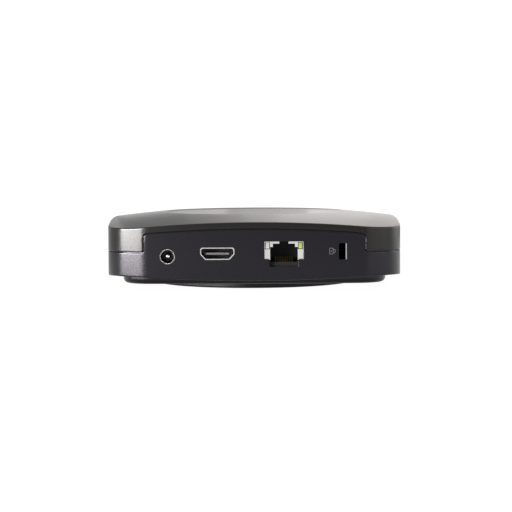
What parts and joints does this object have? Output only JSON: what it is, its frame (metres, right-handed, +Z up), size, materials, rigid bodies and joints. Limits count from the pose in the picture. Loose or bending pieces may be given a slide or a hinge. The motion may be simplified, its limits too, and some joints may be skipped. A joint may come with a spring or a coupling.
{
  "type": "streaming media player",
  "caption": "Low rounded-square set-top player with a domed lid, a round top dish, a stepped base on a rubber ring, and a rear panel of power, video and network sockets.",
  "frame": {"origin": "centre of the foot ring's underside, at the middle of the case", "axes": "+Z up, +Y towards the connector panel at the rear, -Y towards the plain front, +X towards the power socket's side"},
  "size_m": [0.13, 0.13, 0.0319],
  "materials": {
    "case_grey": "satin dark warm grey, fine moulded grain",
    "panel_grey": "matte charcoal, fine moulded grain",
    "rubber": "black, slightly glossy",
    "label_white": "satin, blank",
    "steel": "zinc plated",
    "tin_plate": "bright tin plate",
    "gold_plate": "bright gold plate",
    "aluminium": "satin anodised",
    "board_green": "green solder mask on glass-fibre board",
    "chip_black": "black moulded epoxy",
    "pad_blue": "matte silicone pad",
    "jack_black": "black moulded nylon",
    "switch_grey": "grey moulded plastic",
    "lamp_clear": "clear water-white resin",
    "lamp_green": "clear yellow-green resin, unlit",
    "smoked_window": "polished dark infrared-pass plastic",
    "capacitor_sleeve": "dark blue sleeve"
  },
  "bodies": {
    "case": {"top_cover": "case_grey", "bottom_housing": "panel_grey", "foot_ring": "rubber", "rating_label": "label_white", "case_screw_1": "steel", "case_screw_2": "steel", "case_screw_3": "steel", "case_screw_4": "steel", "board_screw_1": "steel", "board_screw_2": "steel", "heat_sink_screw_1": "steel", "heat_sink_screw_2": "steel", "lock_plate": "steel", "hdmi_shell": "tin_plate", "ethernet_shield": "tin_plate", "dc_jack_sleeve": "tin_plate", "dc_jack_pin": "tin_plate", "wifi_shield": "tin_plate", "crystal": "tin_plate", "heat_sink": "aluminium", "main_board": "board_green", "antenna_left": "board_green", "antenna_right": "board_green", "processor": "chip_black", "memory_chip_1": "chip_black", "memory_chip_2": "chip_black", "flash_chip": "chip_black", "power_inductor_1": "chip_black", "power_inductor_2": "chip_black", "lan_transformer": "chip_black", "ir_receiver": "chip_black", "reset_switch_body": "chip_black", "thermal_pad": "pad_blue", "dc_jack_body": "jack_black", "hdmi_insulator": "jack_black", "ethernet_body": "jack_black", "antenna_lead_left": "jack_black", "antenna_lead_right": "jack_black", "ethernet_link_lamp": "lamp_clear", "status_led": "lamp_clear", "status_light_pipe": "lamp_clear", "ethernet_activity_lamp": "lamp_green", "front_window": "smoked_window", "bulk_capacitor_1": "capacitor_sleeve", "bulk_capacitor_2": "capacitor_sleeve"},
    "contacts": {"ethernet_contacts": "gold_plate"},
    "jack_leaf": {"dc_jack_spring": "gold_plate"},
    "reset": {"reset_button": "rubber"},
    "plunger": {"reset_switch_plunger": "switch_grey"}
  },
  "joints": [
    {"name": "contact_flex", "type": "hinge", "parent": "case", "child": "contacts", "pos_m": [-0.01261, 0.06097, 0.0119], "axis": [1, 0, 0], "range_deg": [0, 12], "stiffness_Nm_per_rad": 0.05},
    {"name": "barrel_spring_flex", "type": "hinge", "parent": "case", "child": "jack_leaf", "pos_m": [0.03709, 0.05116, 0.0115], "axis": [-1, 0, 0], "range_deg": [0, 6], "stiffness_Nm_per_rad": 0.02},
    {"name": "reset_button_press", "type": "slide", "parent": "case", "child": "reset", "axis": [0, 0, 1], "range_m": [0, 0.0003], "stiffness_N_per_m": 200},
    {"name": "switch_plunger_press", "type": "slide", "parent": "case", "child": "plunger", "axis": [0, 0, 1], "range_m": [0, 0.0003]}
  ],
  "couplings": [
    {"joint": "switch_plunger_press", "follows": "reset_button_press", "ratio": 1}
  ]
}
